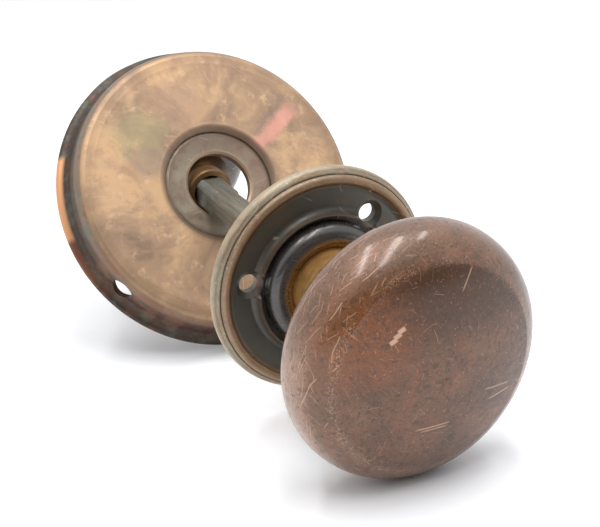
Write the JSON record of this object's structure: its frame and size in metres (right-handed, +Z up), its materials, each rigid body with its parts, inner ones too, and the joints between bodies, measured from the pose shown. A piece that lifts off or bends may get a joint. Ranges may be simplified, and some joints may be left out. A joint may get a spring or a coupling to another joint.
{
  "type": "door knob set",
  "caption": "Pair of round bun door knobs on one square threaded spindle, with a small beaded rosette and a large cup rosette leaning on the spindle.",
  "frame": {"origin": "centre of the small rosette's seat on the door, on the spindle's axis", "axes": "+Y along the spindle from the front knob to the rear knob, +Z up"},
  "size_m": [0.088, 0.1758, 0.0743],
  "materials": {
    "knob_bronze": "brown patina, worn and scratched",
    "core_iron": "rough cast",
    "shank_brass": "worn golden brass",
    "screw_steel": "dull steel",
    "spindle_steel": "dark aged steel",
    "small_rosette_bronze": "dark bronze patina with green on the rim",
    "collar_bronze": "dark polished bronze",
    "large_rosette_bronze": "golden bronze with brown stains",
    "ring_bronze": "grey-brown bronze"
  },
  "bodies": {
    "small_rosette": {"front_rosette": "small_rosette_bronze", "front_collar": "collar_bronze", "front_collar_retainer": "collar_bronze"},
    "front_knob_and_spindle": {"front_knob_face": "knob_bronze", "front_knob_back": "knob_bronze", "front_knob_core": "core_iron", "front_knob_shank": "shank_brass", "front_set_screw": "screw_steel", "spindle": "spindle_steel"},
    "rear_knob": {"rear_knob_face": "knob_bronze", "rear_knob_back": "knob_bronze", "rear_knob_core": "core_iron", "rear_knob_shank": "shank_brass", "rear_set_screw": "screw_steel"},
    "large_rosette": {"rear_rosette": "large_rosette_bronze", "rear_rosette_ring": "ring_bronze"}
  },
  "joints": [
    {"name": "knob_turn", "type": "hinge", "parent": "small_rosette", "child": "front_knob_and_spindle", "pos_m": [0, 0, 0], "axis": [0, 1, 0], "continuous": true},
    {"name": "rear_knob_adjust", "type": "slide", "parent": "front_knob_and_spindle", "child": "rear_knob", "axis": [0, 1, 0], "range_m": [0, 0.009]},
    {"name": "large_rosette_rock", "type": "hinge", "parent": "small_rosette", "child": "large_rosette", "pos_m": [0, 0.0605, -0.0049], "axis": [1, 0, 0], "range_deg": [0, 35]}
  ]
}
